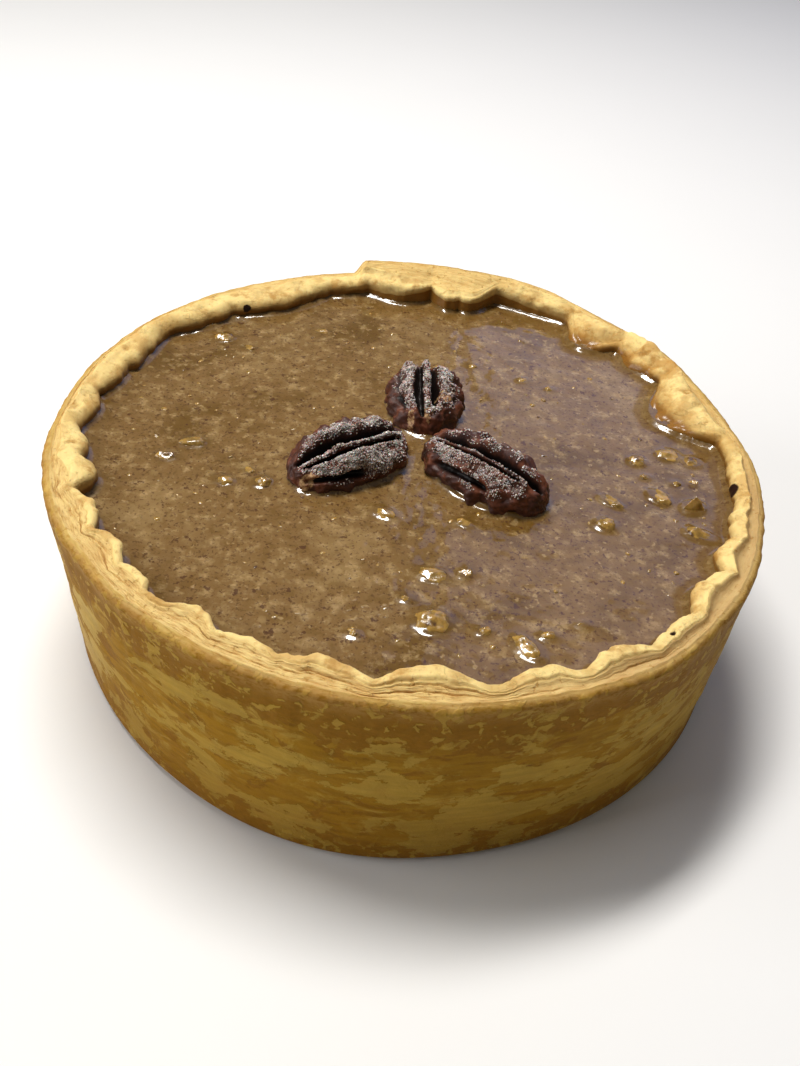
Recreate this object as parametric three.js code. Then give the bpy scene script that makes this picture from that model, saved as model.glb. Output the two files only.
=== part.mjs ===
// A deep round custard tart: a laminated pastry case, a set nut custard that fills it, and three pecan halves.
// Millimetres, +Z up. The origin is the centre of the base, on the surface that the tart stands on.
import * as THREE from "three";

// Driving dimensions
const RIM_RADIUS = 75; // outside of the case at its cut rim
const BASE_RADIUS = 74.2; // outside of the case at the base
const RIM_HEIGHT = 44.5; // the cut rim above the base
const BASE_EDGE = 2.2; // rounding where the wall meets the base
const RIM_EDGE = 1.4; // rounding of the outer rim
const CAVITY_RADIUS = 68; // inside of the wall at the level of the custard
const CAVITY_DRAFT = 2; // how much narrower the cavity is at its floor
const FLOOR_THICKNESS = 5;
const CUSTARD_DROP = 3.9; // the custard's surface below the rim
const LIP_REACH = 69.6; // radius of the lip's inner edge between its folds
const LIP_ROUND = 2.2; // radius of the rolled inner edge
const LIP_LIFT = 0.6; // the lip's crest above the cut rim between its folds
const LIP_SAG = 1.8; // the most that a fold's edge sags before it would rest on the custard
const LIP_UNDERSIDE = 3.4; // the lip's underside below the rim
const GAP = 0.3; // clearance between touching pieces
const AROUND = 156; // steps round the tart

// Each fold of the lip: where it is, half its width in degrees, how far it reaches in, stands up and sags at its edge.
const FOLDS = [
  { at: 22.5, half: 11.5, reach: 10.6, lift: 0.8, sag: 3.8 },
  { at: 40, half: 8, reach: 3.4, lift: 0.7, sag: 2.4 },
  { at: 52.5, half: 7, reach: 7.8, lift: 0.8, sag: 3.6 },
  { at: 68, half: 7, reach: 1.0, lift: 0.2, sag: 0.6 },
  { at: 81, half: 5, reach: 7.0, lift: 0.3, sag: 0.9 },
  { at: 85.5, half: 5.5, reach: 7.4, lift: 0.3, sag: 0.9 },
  { at: 96, half: 9, reach: 5.4, lift: 0.3, sag: 0.4 },
  { at: 109, half: 7, reach: 2.0, lift: 0.2, sag: 0.2 },
  { at: 125, half: 15, reach: 5.8, lift: 0.3, sag: 0.6 },
  { at: 141, half: 9, reach: 3.2, lift: 0.2, sag: 0.4 },
  { at: 162, half: 9, reach: 2.2, lift: 0.2, sag: 0.4 },
  { at: 170, half: 7, reach: 2.1, lift: 0.2, sag: 0.4 },
  { at: 181, half: 5, reach: 1.8, lift: 0.2, sag: 0.4 },
  { at: 194, half: 6, reach: 2.8, lift: 0.3, sag: 0.3 },
  { at: 201, half: 5, reach: 5.0, lift: 0.3, sag: 0.3 },
  { at: 211.5, half: 6, reach: 2.8, lift: 0.1, sag: 0 },
  { at: 221, half: 5, reach: 2.8, lift: 0.3, sag: 0 },
  { at: 229, half: 4, reach: 2.2, lift: 0.2, sag: 0 },
  { at: 241, half: 5, reach: 3.0, lift: 0.3, sag: 0 },
  { at: 250, half: 7, reach: 1.8, lift: 0.2, sag: 0 },
  { at: 261, half: 8, reach: 2.8, lift: 0.4, sag: 0 },
  { at: 276, half: 8, reach: 4.0, lift: 0.9, sag: 0 },
  { at: 292, half: 6, reach: 2.4, lift: 0.4, sag: 0 },
  { at: 304, half: 6, reach: 2.6, lift: 0.5, sag: 0 },
  { at: 315, half: 6, reach: 1.2, lift: 0.2, sag: 0 },
  { at: 326.5, half: 6, reach: 3.4, lift: 0.6, sag: 0.7 },
  { at: 337, half: 5, reach: 3.2, lift: 0.8, sag: 1.0 },
  { at: 347, half: 7, reach: 1.4, lift: 0.3, sag: 0.5 },
  { at: 358, half: 8, reach: 1.0, lift: 0.3, sag: 0.5 },
];

// Each place where the wall bulges out or in: where, half its width in degrees, and how far.
const BULGES = [
  { at: 350, half: 22, out: -1.0 },
  { at: 14, half: 20, out: -1.2 },
  { at: 42, half: 16, out: 2.4 },
  { at: 53, half: 9, out: 0.9 },
  { at: 67, half: 20, out: 3.4 },
  { at: 206, half: 26, out: 1.1 },
  { at: 230, half: 12, out: 0.5 },
  { at: 308, half: 20, out: 0.9 },
];

// The same for the base.
const BASE_BULGES = [
  { at: 212, half: 42, out: -1.0 },
  { at: 264, half: 28, out: 1.0 },
];

// The raised lap where the strip of pastry overlaps at the back. It climbs slowly and ends in a step.
const LAP = { from: 46, to: 106.5, easeIn: 44, easeOut: 2.5, rise: 3.6 };
const FLAP_FROM = 72; // past this azimuth the lap slopes down to the lip
const FLAP_EASE = 8;

// The crown of a leaning half stands to one side of its base, by its height times the lean.
const PECANS = [
  { name: "pecan_left", x: -13, y: -8.6, turn: 217, length: 28, width: 15.6, height: 8.2, lean: 0.35 },
  { name: "pecan_right", x: 15.6, y: -8.6, turn: -33, length: 30, width: 15, height: 8.4, lean: -0.32 },
  { name: "pecan_back", x: 1.5, y: 16.4, turn: 95, length: 23.4, width: 16.6, height: 8.8, lean: 0 },
];

const CUSTARD_LEVEL = RIM_HEIGHT - CUSTARD_DROP;

// 1 at the middle of a span, easing to 0 at its ends, for angles in degrees.
function hump(azimuth, at, half) {
  const away = Math.abs(((azimuth - at + 540) % 360) - 180);
  return away < half ? 0.5 + 0.5 * Math.cos((Math.PI * away) / half) : 0;
}

function ramp(value, from, width) {
  return THREE.MathUtils.smoothstep(value, from, from + width);
}

function lapRise(azimuth) {
  return LAP.rise * ramp(azimuth, LAP.from, LAP.easeIn) * (1 - ramp(azimuth, LAP.to - LAP.easeOut, LAP.easeOut));
}

// How much of the lap's rise is left at the lip.
function lapShare(azimuth) {
  return 0.8 - 0.5 * ramp(azimuth, FLAP_FROM, FLAP_EASE);
}

function bulge(azimuth, places = BULGES) {
  return places.reduce((sum, b) => sum + b.out * hump(azimuth, b.at, b.half), 0);
}

// The lip's reach, lift and sag at an azimuth: the strongest fold there wins, so creases stay sharp.
function lip(azimuth) {
  let reach = 0;
  let lift = 0;
  let sag = 0;
  for (const fold of FOLDS) {
    const share = Math.sqrt(hump(azimuth, fold.at, fold.half));
    reach = Math.max(reach, share * fold.reach);
    lift = Math.max(lift, share * fold.lift);
    sag = Math.max(sag, share * fold.sag);
  }
  return { reach, lift, sag: Math.min(sag, LIP_SAG) };
}

// The pastry's section at an azimuth, from the centre of the base round to the centre of the cavity's floor.
function crustSection(azimuth) {
  const out = bulge(azimuth);
  const rim = RIM_RADIUS + out;
  const base = BASE_RADIUS + bulge(azimuth, BASE_BULGES);
  const { reach, lift, sag } = lip(azimuth);
  const lap = lapRise(azimuth);
  const top = RIM_HEIGHT + lap;
  const crest = RIM_HEIGHT + lapShare(azimuth) * lap + LIP_LIFT + 0.8 * lift - sag;
  const edge = LIP_REACH + 0.8 * out - reach;
  const inside = CAVITY_RADIUS + 0.8 * out;
  const underside = Math.min(edge + LIP_ROUND, inside);
  const wall = (share) => base + (rim - base) * share ** 1.4;
  return [
    [0, 0],
    [base - BASE_EDGE, 0],
    [base - 0.3 * BASE_EDGE, 0.3 * BASE_EDGE],
    [base, BASE_EDGE],
    [wall(0.5), 0.5 * RIM_HEIGHT],
    [rim, top - RIM_EDGE],
    [rim - 0.8 * RIM_EDGE, top - 0.1 * RIM_EDGE],
    [edge + 1.6 * LIP_ROUND, THREE.MathUtils.lerp(top, crest, 0.75)],
    [edge + 0.7 * LIP_ROUND, crest],
    [edge, crest - LIP_ROUND],
    [underside, RIM_HEIGHT - LIP_UNDERSIDE],
    [inside, RIM_HEIGHT - LIP_UNDERSIDE - 0.4],
    [inside, CUSTARD_LEVEL - 1],
    [CAVITY_RADIUS - CAVITY_DRAFT, FLOOR_THICKNESS],
    [0, FLOOR_THICKNESS],
  ];
}

// The custard fills the cavity up to its level, a gap clear of the pastry.
function custardSection(azimuth) {
  const inside = CAVITY_RADIUS + 0.8 * bulge(azimuth) - GAP;
  return [
    [0, FLOOR_THICKNESS + GAP],
    [CAVITY_RADIUS - CAVITY_DRAFT - GAP, FLOOR_THICKNESS + GAP],
    [inside, CUSTARD_LEVEL - 1 - GAP],
    [inside, CUSTARD_LEVEL],
    [0.6 * inside, CUSTARD_LEVEL],
    [0, CUSTARD_LEVEL],
  ];
}

// A lathe whose section changes with the azimuth.
function turned(section) {
  const profile = section(0).map(([r, z]) => new THREE.Vector2(r, z));
  const geometry = new THREE.LatheGeometry(profile, AROUND);
  const position = geometry.attributes.position;
  for (let step = 0; step <= AROUND; step++) {
    const azimuth = (360 * (step % AROUND)) / AROUND;
    const angle = THREE.MathUtils.degToRad(azimuth);
    section(azimuth).forEach(([r, z], point) => {
      const index = step * profile.length + point;
      position.setXYZ(index, r * Math.cos(angle), r * Math.sin(angle), z);
    });
  }
  return geometry;
}

// A pecan half, long along X: two deep grooves beside a thin ridge, full shoulders, lumpy flanks, a flat underside.
function pecanGeometry({ length, width, height, lean }) {
  const geometry = new THREE.SphereGeometry(1, 20, 18);
  geometry.rotateZ(-Math.PI / 2);
  const position = geometry.attributes.position;
  for (let i = 0; i < position.count; i++) {
    const along = position.getX(i);
    const across = position.getY(i);
    const up = position.getZ(i);
    const angle = Math.atan2(across, up);
    const waist = 1 + 0.06 * Math.cos(9 * along + 2 * Math.sign(across)) * Math.abs(Math.sin(angle));
    const groove = (middle) => Math.exp(-(((angle - middle) / 0.14) ** 2));
    const depth = up > 0 ? 0.3 * (groove(-0.34) + groove(0.34)) * (1 - along ** 4) : 0;
    const stands = Math.max(up * (1 - depth), -0.05) * height;
    position.setXYZ(i, (along * length) / 2, (across * waist * width) / 2 + lean * stands, stands);
  }
  geometry.translate(0, 0, 0.05 * height);
  return geometry;
}

const pastry = new THREE.MeshStandardMaterial({ color: 0xd9a860, roughness: 0.75, metalness: 0 });
const custard = new THREE.MeshStandardMaterial({ color: 0x7a5c36, roughness: 0.2, metalness: 0 });
const nut = new THREE.MeshStandardMaterial({ color: 0x43211a, roughness: 0.6, metalness: 0 });

function pecan(spec) {
  const mesh = new THREE.Mesh(pecanGeometry(spec), nut);
  mesh.name = spec.name;
  mesh.position.set(spec.x, spec.y, CUSTARD_LEVEL + GAP);
  mesh.rotation.z = THREE.MathUtils.degToRad(spec.turn);
  return mesh;
}

const crust = new THREE.Mesh(turned(crustSection), pastry);
crust.name = "crust";

const filling = new THREE.Mesh(turned(custardSection), custard);
filling.name = "custard";

const tart = new THREE.Group();
tart.add(crust, filling, ...PECANS.map(pecan));

export default tart;
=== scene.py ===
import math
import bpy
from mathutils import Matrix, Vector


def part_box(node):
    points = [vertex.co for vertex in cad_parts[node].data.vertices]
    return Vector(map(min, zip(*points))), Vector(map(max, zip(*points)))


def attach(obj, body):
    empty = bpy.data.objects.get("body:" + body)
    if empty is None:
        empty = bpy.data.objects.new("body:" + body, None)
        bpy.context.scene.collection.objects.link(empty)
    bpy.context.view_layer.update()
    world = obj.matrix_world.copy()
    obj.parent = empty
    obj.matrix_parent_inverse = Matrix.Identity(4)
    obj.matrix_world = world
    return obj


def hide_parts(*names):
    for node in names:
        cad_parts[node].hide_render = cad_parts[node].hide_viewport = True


bl_info = {
    "name": "Nut custard tart",
    "version": (1, 0, 0),
    "blender": (4, 5, 0),
    "location": "3D View > Sidebar > Tart",
    "description": "Builds a deep custard tart in a laminated pastry case, topped with sugared pecan halves",
    "category": "Add Mesh",
}

import bpy
import numpy as np
from mathutils import Matrix, Vector, kdtree, noise

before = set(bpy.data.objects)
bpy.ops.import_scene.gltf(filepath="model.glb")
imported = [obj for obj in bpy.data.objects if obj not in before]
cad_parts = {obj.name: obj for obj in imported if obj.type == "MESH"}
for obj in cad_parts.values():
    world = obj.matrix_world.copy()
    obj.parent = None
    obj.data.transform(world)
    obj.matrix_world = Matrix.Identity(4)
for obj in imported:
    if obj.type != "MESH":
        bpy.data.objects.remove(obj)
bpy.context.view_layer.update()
CRUST_LOW, CRUST_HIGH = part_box("crust")
CUSTARD_LOW, CUSTARD_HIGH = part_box("custard")

MM = 0.001
BODY = "root"

# ---- sizes taken from the frame
RIM_RADIUS = round((CRUST_HIGH.y - CRUST_LOW.y) / 2, 3)
CUSTARD_LEVEL = CUSTARD_HIGH.z
RIM_OVER_CUSTARD = 3.9 * MM
RIM_HEIGHT = CUSTARD_LEVEL + RIM_OVER_CUSTARD

# Each fold of the lip: azimuth, half its width (degrees), reach inwards, lift, and sag of its edge (mm).
FOLDS = (
    (22.5, 11.5, 10.6, 0.8, 3.8),
    (40, 8, 3.4, 0.7, 2.4),
    (52.5, 7, 7.8, 0.8, 3.6),
    (68, 7, 1.0, 0.2, 0.6),
    (81, 5, 7.0, 0.3, 0.9),
    (85.5, 5.5, 7.4, 0.3, 0.9),
    (96, 9, 5.4, 0.3, 0.4),
    (109, 7, 2.0, 0.2, 0.2),
    (125, 15, 5.8, 0.3, 0.6),
    (141, 9, 3.2, 0.2, 0.4),
    (162, 9, 2.2, 0.2, 0.4),
    (170, 7, 2.1, 0.2, 0.4),
    (181, 5, 1.8, 0.2, 0.4),
    (194, 6, 2.8, 0.3, 0.3),
    (201, 5, 5.0, 0.3, 0.3),
    (211.5, 6, 2.8, 0.1, 0.0),
    (221, 5, 2.8, 0.3, 0.0),
    (229, 4, 2.2, 0.2, 0.0),
    (241, 5, 3.0, 0.3, 0.0),
    (250, 7, 1.8, 0.2, 0.0),
    (261, 8, 2.8, 0.4, 0.0),
    (276, 8, 4.0, 0.9, 0.0),
    (292, 6, 2.4, 0.4, 0.0),
    (304, 6, 2.6, 0.5, 0.0),
    (315, 6, 1.2, 0.2, 0.0),
    (326.5, 6, 3.4, 0.6, 0.7),
    (337, 5, 3.2, 0.8, 1.0),
    (347, 7, 1.4, 0.3, 0.5),
    (358, 8, 1.0, 0.3, 0.5),
)
# Each place where the wall bulges: azimuth, half its width (degrees), and how far out (mm).
BULGES = (
    (350, 22, -1.0),
    (14, 20, -1.2),
    (42, 16, 2.4),
    (53, 9, 0.9),
    (67, 20, 3.4),
    (206, 26, 1.1),
    (230, 12, 0.5),
    (308, 20, 0.9),
)
# The same for the base.
BASE_BULGES = (
    (212, 42, -1.0),
    (264, 28, 1.0),
)
# Where the strip of pastry laps at the back: from, to, easing at each end (degrees), and rise (mm).
LAP = (46, 106.5, 44, 2.5, 3.6)
# Past this azimuth the lap slopes down more to the lip: its start and easing (degrees).
FLAP = (72, 8)
# How the rim looks as it goes round: azimuth, share of it that is a cut face, radius of the lip's rolled
# edge, the step behind the lip, the dish of the cut face (mm), and how coarse its layers are, 0 to 1.
RIM_STYLE = (
    (4, 0.74, 2.2, 0.1, 0.3, 0.10),
    (20, 0.20, 2.3, 0.2, 0.0, 0.15),
    (52, 0.22, 2.3, 0.2, 0.0, 0.15),
    (66, 0.50, 2.0, 0.2, 0.0, 0.10),
    (75, 0.60, 1.7, 0.1, 0.0, 0.10),
    (80, 0.90, 0.9, 0.0, 0.0, 0.15),
    (89, 0.90, 0.9, 0.0, 0.0, 0.15),
    (96, 0.60, 1.6, 0.1, 0.0, 0.15),
    (108, 0.44, 2.2, 0.2, 0.0, 0.20),
    (140, 0.34, 2.5, 0.2, 0.0, 0.20),
    (165, 0.36, 2.6, 0.2, 0.0, 0.20),
    (192, 0.38, 2.5, 0.2, 0.1, 0.25),
    (200, 0.42, 2.2, 0.2, 0.1, 0.40),
    (208, 0.84, 1.1, 0.1, 0.1, 0.60),
    (248, 0.86, 0.9, 0.1, 0.1, 0.65),
    (276, 0.68, 1.5, 0.3, 0.1, 0.70),
    (298, 0.66, 1.6, 0.2, 0.3, 0.28),
    (322, 0.72, 1.9, 0.1, 0.7, 0.15),
    (352, 0.78, 2.1, 0.0, 0.6, 0.05),
)
# Splits between the layers of the cut rim: azimuth, half width (degrees), place across it 0 to 1, depth (mm).
SPLITS = (
    (275, 9, 0.60, 1.1),
    (279, 10, 0.86, 0.9),
    (262, 5, 0.72, 1.0),
    (258, 4, 0.60, 0.6),
    (268, 6, 0.30, 0.5),
    (306, 7, 0.62, 0.9),
    (314, 6, 0.46, 0.4),
    (290, 6, 0.42, 0.5),
    (225, 7, 0.62, 0.9),
    (216, 6, 0.74, 0.8),
    (232, 5, 0.36, 0.6),
    (243, 6, 0.70, 0.7),
    (250, 8, 0.40, 0.5),
    (207, 6, 0.50, 0.6),
    (200, 10, 0.40, 0.4),
    (176, 12, 0.40, 0.4),
    (98, 7, 0.30, 0.5),
)
# Scorched spots, and one small hole in the lip whose dark colour is painted shade: azimuth (degrees), radius,
# height over the cut rim, size and depth (mm).
SPOTS = (
    (355.5, 67.4, -0.9, 1.9, 0.2),
    (133.5, 65.6, -1.2, 1.1, 0.1),
    (313.5, 70.9, 0.7, 0.55, 0.8),
    (181, 70.2, -0.8, 0.7, 0.0),
)
# The larger nut pieces at the surface: x, y, length, width (mm), turn (degrees), height over the custard.
NUT_PIECES = (
    (7.0, -51.0, 7.4, 6.4, 20, 1.5),
    (24.0, -55.0, 7.6, 4.0, -48, 1.2),
    (27.5, -51.5, 3.4, 2.6, 10, 0.8),
    (60.0, -18.4, 8.6, 4.2, -22, 1.5),
    (59.6, -9.4, 6.6, 5.0, 30, 2.7),
    (52.6, -7.2, 6.6, 4.2, -40, 1.3),
    (42.2, -10.6, 6.4, 3.0, -35, 1.0),
    (40.4, -18.4, 5.0, 4.4, 0, 1.2),
    (49.3, 4.8, 4.4, 3.8, 0, 1.1),
    (50.6, -0.6, 3.2, 2.2, 10, 0.7),
    (56.6, 8.8, 6.6, 5.2, 15, 0.9),
    (62.0, 7.2, 5.4, 4.6, 0, 0.9),
    (57.0, -1.6, 2.6, 2.0, 0, 0.7),
    (61.0, -0.8, 2.4, 1.8, 40, 0.7),
    (-48.6, 36.6, 6.0, 4.0, 25, 1.2),
    (-42.0, 33.0, 3.4, 2.4, 0, 0.9),
    (-50.4, -12.6, 5.4, 3.2, 8, 1.0),
    (-46.6, -7.0, 6.8, 4.0, 12, 0.9),
    (-37.6, -18.4, 5.0, 3.6, 0, 1.0),
    (-30.0, -17.4, 4.8, 4.2, 30, 1.1),
    (-33.0, -14.4, 2.8, 2.2, 0, 0.7),
    (-4.6, -22.6, 6.4, 3.6, -20, 1.0),
    (12.0, -23.0, 4.6, 2.8, -15, 0.7),
    (6.6, -39.0, 7.0, 4.6, 0, 0.8),
    (12.5, -38.0, 3.6, 2.6, 50, 0.8),
    (2.0, -46.4, 3.0, 2.2, 0, 0.6),
    (-7.0, -56.4, 2.6, 2.0, 0, 0.6),
    (16.0, -52.0, 3.2, 2.4, 20, 0.7),
    (34.0, -48.0, 3.0, 2.2, 0, 0.6),
    (12.0, 37.0, 3.0, 2.2, 0, 0.5),
    (24.5, 33.0, 3.2, 2.4, 30, 0.6),
    (31.0, 30.5, 2.8, 2.4, 0, 0.6),
    (-26.0, 45.0, 4.2, 2.6, 0, 0.6),
    (-48.0, 46.0, 3.2, 2.2, 30, 0.6),
)
# The pecan halves: CAD node, x, y (mm), turn (degrees), length, width, height (mm), lean (degrees), seed and
# frost from 0 to 1.
PECANS = (
    ("pecan_left", -13.0, -8.6, 217, 28.0, 15.6, 8.2, 24, 3, 0.62),
    ("pecan_right", 15.6, -8.6, -33, 30.0, 15.0, 8.4, -22, 8, 0.26),
    ("pecan_back", 1.5, 16.4, 95, 23.4, 16.6, 8.8, 0, 5, 0.46),
)
# Their grooves: angle from the crown, half width (degrees), depth as a share, and where they start and end
# along the half, whose own ends are -1 and 1.
GROOVES = {
    "pecan_left": (
        (-18, 11.0, 0.68, -0.93, 0.98),
        (8, 4.5, 0.36, -0.86, 0.94),
        (47, 6.5, 0.34, -0.10, 0.95),
        (-58, 6.0, 0.14, -0.50, 0.60),
    ),
    "pecan_right": (
        (15, 10.0, 0.66, -0.88, 0.98),
        (-5, 4.0, 0.30, -0.90, 0.70),
        (-46, 6.5, 0.26, -0.70, 0.40),
        (50, 6.0, 0.14, -0.40, 0.70),
    ),
    "pecan_back": (
        (16, 8.0, 0.50, -0.96, 0.90),
        (-15, 8.5, 0.56, -0.80, 0.94),
        (50, 7.0, 0.22, -0.80, 0.60),
        (-55, 7.0, 0.14, -0.60, 0.40),
    ),
}
# Broken places on them: along and across from -1 to 1, half length, half width and strength.
BREAKS = {
    "pecan_left": ((0.84, 0.35, 0.20, 0.20, 0.95),),
    "pecan_back": (
        (-0.80, -0.02, 0.17, 0.16, 1.0),
        (-0.86, 0.40, 0.13, 0.13, 0.9),
        (-0.46, -0.44, 0.17, 0.17, 1.0),
    ),
}
PECAN_OUTLINES = [(x, y, long, wide, turn) for _, x, y, turn, long, wide, *_ in PECANS]

# Spans that differ from the rest, as azimuth and half width (degrees): the large lobes and their lumps, the
# flap's thin folds, the pale outer edge of the rim, the wall's painted sheen, and the custard's painted shade
# band.
LOBES = (36, 32)
LUMPS = (36, 34)
THIN_FOLDS = (84, 11)
PALE_RIM = (338, 60)
SHEEN_WALL = (202, 30)
SHADE_BAND = (25, 90)
# The lip takes these shares of the wall's bulge and of a fold's lift. Its rolled edge turns this far, in
# degrees, and tucks under by this much. The last three are its rise over the cut rim, the rounding of the
# rim's outer edge, and the depth of the lip's inner face.
BULGE_SHARE = 0.8
LIFT_SHARE = 0.8
ROLL_END = 165
TUCK = 0.15 * MM
LIP_RISE = 0.55 * MM
RIM_ROUNDING = 1.3 * MM
INNER_DEPTH = 8 * MM
# Vertices round the case, and the rings of them in its base, foot, wall, outer edge, cut rim, rolled lip,
# inner face and floor. Then the same round the custard, and the rings in its top.
CASE_AROUND = 640
CASE_RINGS = (5, 6, 36, 6, 60, 14, 12, 5)
CUSTARD_AROUND = 576
TOP_RINGS = 154
MERGE_DISTANCE = 0.005 * MM
# The peaked shard among the nut pieces: its seed, and the height (mm) over which a piece is given its shape.
SHARD = 7
SHARD_HEIGHT = 2
# Small nut crumbs: how many, how many shapes, and how far from the middle they lie (mm).
CRUMBS = 170
CRUMB_SHAPES = 6
CRUMB_SPREAD = 66
# Sugar grains on a pecan half: how many at least, and how many more with full frost.
GRAINS_LEAST = 600
GRAINS_FROST = 6500
# The camera's aim beside and in front of the middle of the rim, and its distance from there, in rim radii.
AIM = (-0.008, -0.438)
DISTANCE = 2.517
# The lights: name, place, aim, width and height (metres), power (watts) and colour.
LAMPS = (
    ("overhead", (-0.16, 0.20, 0.80), (0, 0, 0.04), (0.46, 0.13), 7.4, (1.0, 0.97, 0.92)),
    ("left_fill", (-0.85, -0.20, 0.35), (0, 0, 0.03), (0.60, 0.60), 4.2, (0.97, 0.98, 1.0)),
    ("window", (0.50, 0.90, 0.62), (0.50, 0, 0.62), (0.90, 0.76), 1.58, (0.44, 0.54, 1.0)),
    ("blind", (0.50, 0.90, 1.17), (0.50, 0, 1.17), (0.90, 0.34), 0.26, (0.44, 0.54, 1.0)),
)


# ---- settings that a user would change
def colour(name, description, value):
    return bpy.props.FloatVectorProperty(
        name=name, description=description, subtype="COLOR", size=3, min=0, max=1, default=value
    )


def length(name, description, value):
    return bpy.props.FloatProperty(
        name=name, description=description, subtype="DISTANCE", unit="LENGTH", default=value, precision=4
    )


class PastrySettings(bpy.types.PropertyGroup):
    """Sizes and colours of the pastry case."""

    rim_radius: length("Rim radius", "Outside of the case at its cut rim", RIM_RADIUS)
    base_radius: length("Base radius", "Outside of the case at the base", RIM_RADIUS - 0.8 * MM)
    rim_height: length("Rim height", "The cut rim above the base", RIM_HEIGHT)
    base_edge: length("Base rounding", "Rounding where the wall meets the base", 2.2 * MM)
    cavity_radius: length("Cavity radius", "Inside of the wall at the custard's level", 68 * MM)
    lip_radius: length("Lip radius", "Radius of the lip's inner edge between its folds", 69.6 * MM)
    floor: length("Floor", "Thickness of the pastry under the custard", 5 * MM)
    gold: colour("Golden crust", "Evenly baked wall", (0.330, 0.164, 0.008))
    pale: colour("Pale crust", "Drier patches on the wall", (0.465, 0.292, 0.046))
    # Its colour also paints shade in the gaps and splits of the cut rim.
    toast: colour("Toasted crust", "Darker zones under the rim and at the foot", (0.245, 0.105, 0.006))
    cream: colour("Inner dough", "Lip and cut layers", (0.83, 0.63, 0.26))
    tan: colour("Layer edges", "Baked edges of the cut layers", (0.52, 0.29, 0.085))
    dull: colour("Dull layers", "Drier, greyer part of the cut rim", (0.43, 0.285, 0.135))
    # Its colour also paints shade in the lip's creases and in the pits of the cut rim.
    stain_and_shade: colour("Stained dough", "Lip where it is damp and in its creases", (0.37, 0.170, 0.025))
    soaked: colour("Soaked dough", "Lip where the syrup wets it", (0.24, 0.098, 0.011))
    # It also paints shade in the small hole in the lip.
    scorched_and_shade: colour("Scorched spots", "Caught syrup on the lip", (0.022, 0.008, 0.004))


class CustardSettings(bpy.types.PropertyGroup):
    """Sizes and colours of the custard and the nut pieces in it."""

    level: length("Level", "Surface of the custard above the base", CUSTARD_LEVEL)
    meniscus: length("Meniscus", "How far the custard climbs what it touches", 0.9 * MM)
    ripple: length("Ripple", "Unevenness of the surface", 0.22 * MM)
    body: colour("Custard", "Custard between its specks", (0.192, 0.108, 0.035))
    deep: colour("Deep custard", "Clearer syrup", (0.115, 0.058, 0.008))
    fleck: colour("Ground nut", "Pale ground nut", (0.40, 0.27, 0.115))
    speck: colour("Nut skin", "Dark specks of nut skin", (0.066, 0.024, 0.011))
    nut: colour("Nut piece", "Larger pieces at the surface", (0.43, 0.249, 0.051))


class PecanSettings(bpy.types.PropertyGroup):
    """Colours and frosting of the pecan halves."""

    skin: colour("Skin", "Roasted nut skin", (0.052, 0.014, 0.008))
    ridge: colour("Ridge", "Skin where it is worn or thin", (0.165, 0.047, 0.020))
    # Near black, as painted shade in the grooves.
    groove: colour("Groove", "Depth of the grooves", (0.006, 0.002, 0.001))
    frost: colour("Frost", "Dried sugar on the skin", (0.58, 0.47, 0.43))
    flesh: colour("Flesh", "Broken places", (0.62, 0.40, 0.19))
    grain: length("Sugar grain", "Size of one sugar crystal", 0.20 * MM)


class StageSettings(bpy.types.PropertyGroup):
    """Camera, floor and light."""

    elevation: bpy.props.FloatProperty(
        name="Elevation", description="Camera's downward tilt", subtype="ANGLE", default=math.radians(40.62)
    )
    roll: bpy.props.FloatProperty(
        name="Roll", description="Camera's roll", subtype="ANGLE", default=math.radians(6.69)
    )
    lens: bpy.props.FloatProperty(
        name="Lens", description="Focal length", subtype="DISTANCE_CAMERA", unit="CAMERA", default=33.77
    )
    floor: colour("Floor", "Plain pale floor", (0.86, 0.86, 0.86))


# ---- shader maths
class Maths:
    """A socket's value in an expression: each sum, difference or product of it adds its Math node."""

    def __init__(self, shop, socket):
        self.shop = shop
        self.socket = socket

    def _with(self, operation, first, second):
        return self.shop.node("ShaderNodeMath", {"operation": operation}, first, second)

    def __add__(self, other):
        return self._with("ADD", self, other)

    def __radd__(self, other):
        return self._with("ADD", other, self)

    def __sub__(self, other):
        return self._with("SUBTRACT", self, other)

    def __rsub__(self, other):
        return self._with("SUBTRACT", other, self)

    def __mul__(self, other):
        return self._with("MULTIPLY", self, other)

    def __rmul__(self, other):
        return self._with("MULTIPLY", other, self)


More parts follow.
